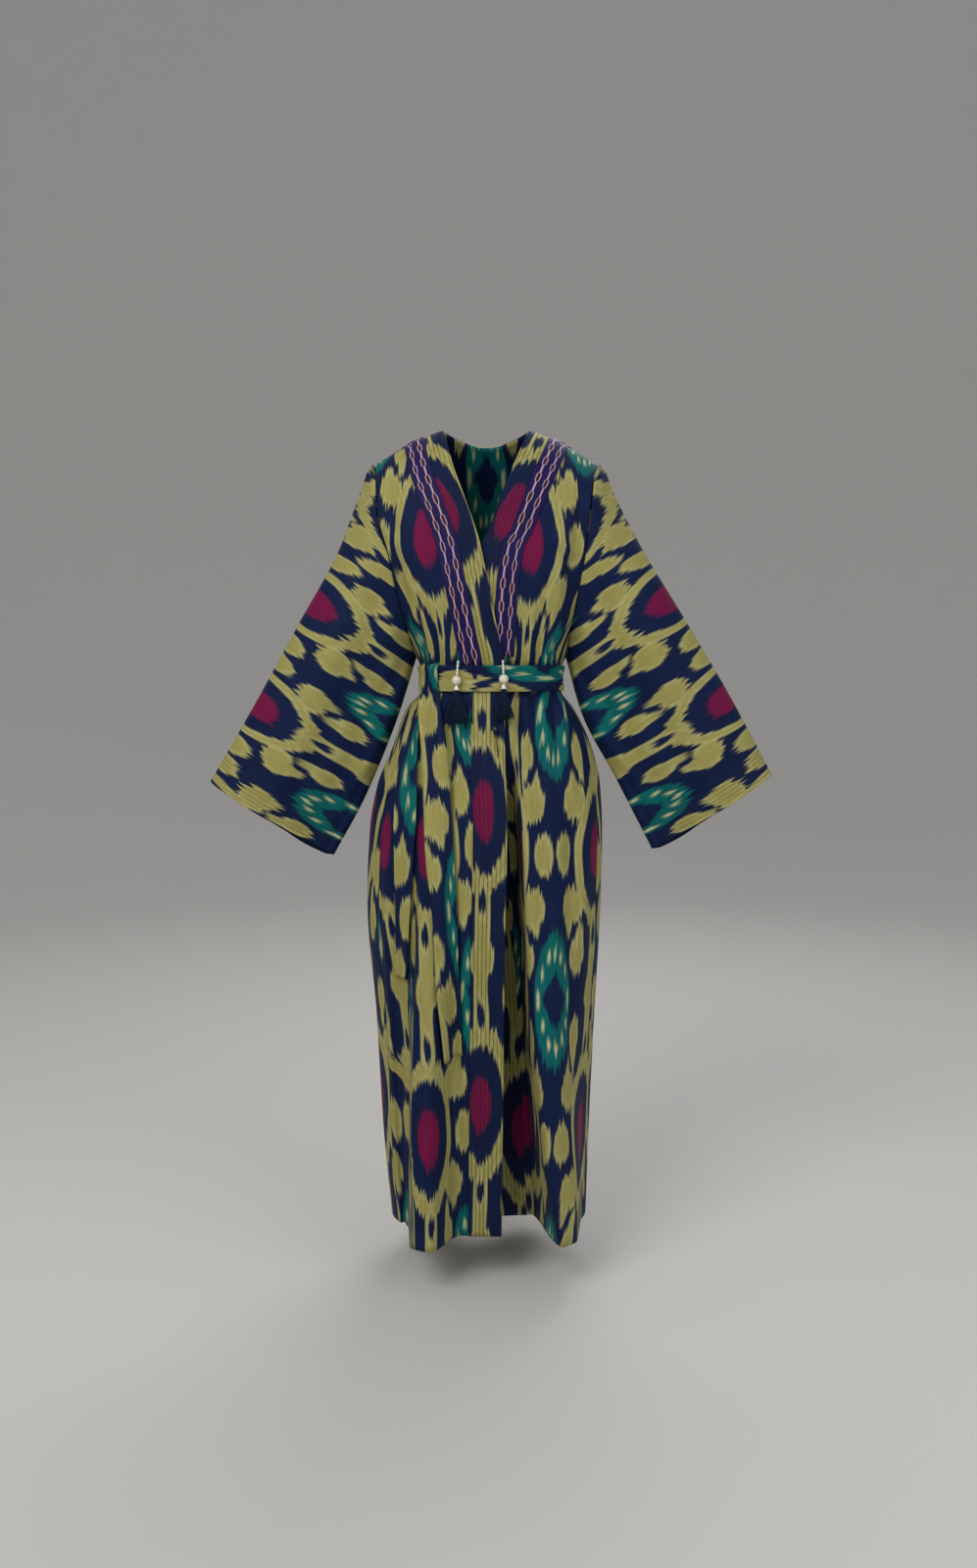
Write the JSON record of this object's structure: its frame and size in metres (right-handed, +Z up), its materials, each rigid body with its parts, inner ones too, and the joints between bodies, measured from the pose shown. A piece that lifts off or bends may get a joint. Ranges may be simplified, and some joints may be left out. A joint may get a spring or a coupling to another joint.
{
  "type": "uzbek chapan robe, worn form",
  "caption": "Long belted ikat robe in its hollow worn form, with crossed fronts, wide straight sleeves, stitched edge bands, a neck braid, a tie belt and tassels.",
  "frame": {"origin": "middle of the shoulder line, on the line between the shoulder seams, at neck height", "axes": "+Z up, the front of the robe faces -Y, +X is the wearer's left"},
  "size_m": [0.9143, 0.3214, 1.29],
  "materials": {
    "ikat_cotton": "plain-woven cotton adras in navy, olive, crimson and teal warp ikat, soft sheen",
    "band_cotton": "ikat cotton band with close rows of topstitching",
    "braid": "woven violet-navy braid tape with two pale rows of link pattern",
    "belt_cotton": "folded ikat cotton belt, softly creased",
    "thread": "dark teal-navy cotton thread fringe",
    "bead_cream": "round cream bead, soft gloss",
    "bead_white": "small white beads and flared bead cap, soft gloss",
    "button_black": "glossy black ball button and its black loop cord"
  },
  "bodies": {
    "root": {"front_right": "ikat_cotton", "front_right_skirt": "ikat_cotton", "front_left": "ikat_cotton", "front_left_skirt": "ikat_cotton", "back": "ikat_cotton", "back_skirt": "ikat_cotton", "sleeve_right": "ikat_cotton", "sleeve_left": "ikat_cotton", "band_right": "band_cotton", "band_left": "band_cotton", "band_back": "band_cotton", "tape_right": "braid", "tape_left": "braid", "tape_back": "braid", "belt": "belt_cotton", "belt_end_front": "belt_cotton", "belt_end_side": "belt_cotton", "tassel_right": "thread", "tassel_left": "thread", "bead_right": "bead_cream", "bead_left": "bead_cream", "bead_string_right": "bead_white", "bead_string_left": "bead_white", "bead_cap_right": "bead_white", "bead_cap_left": "bead_white", "button": "button_black", "button_loop": "button_black"}
  },
  "joints": []
}
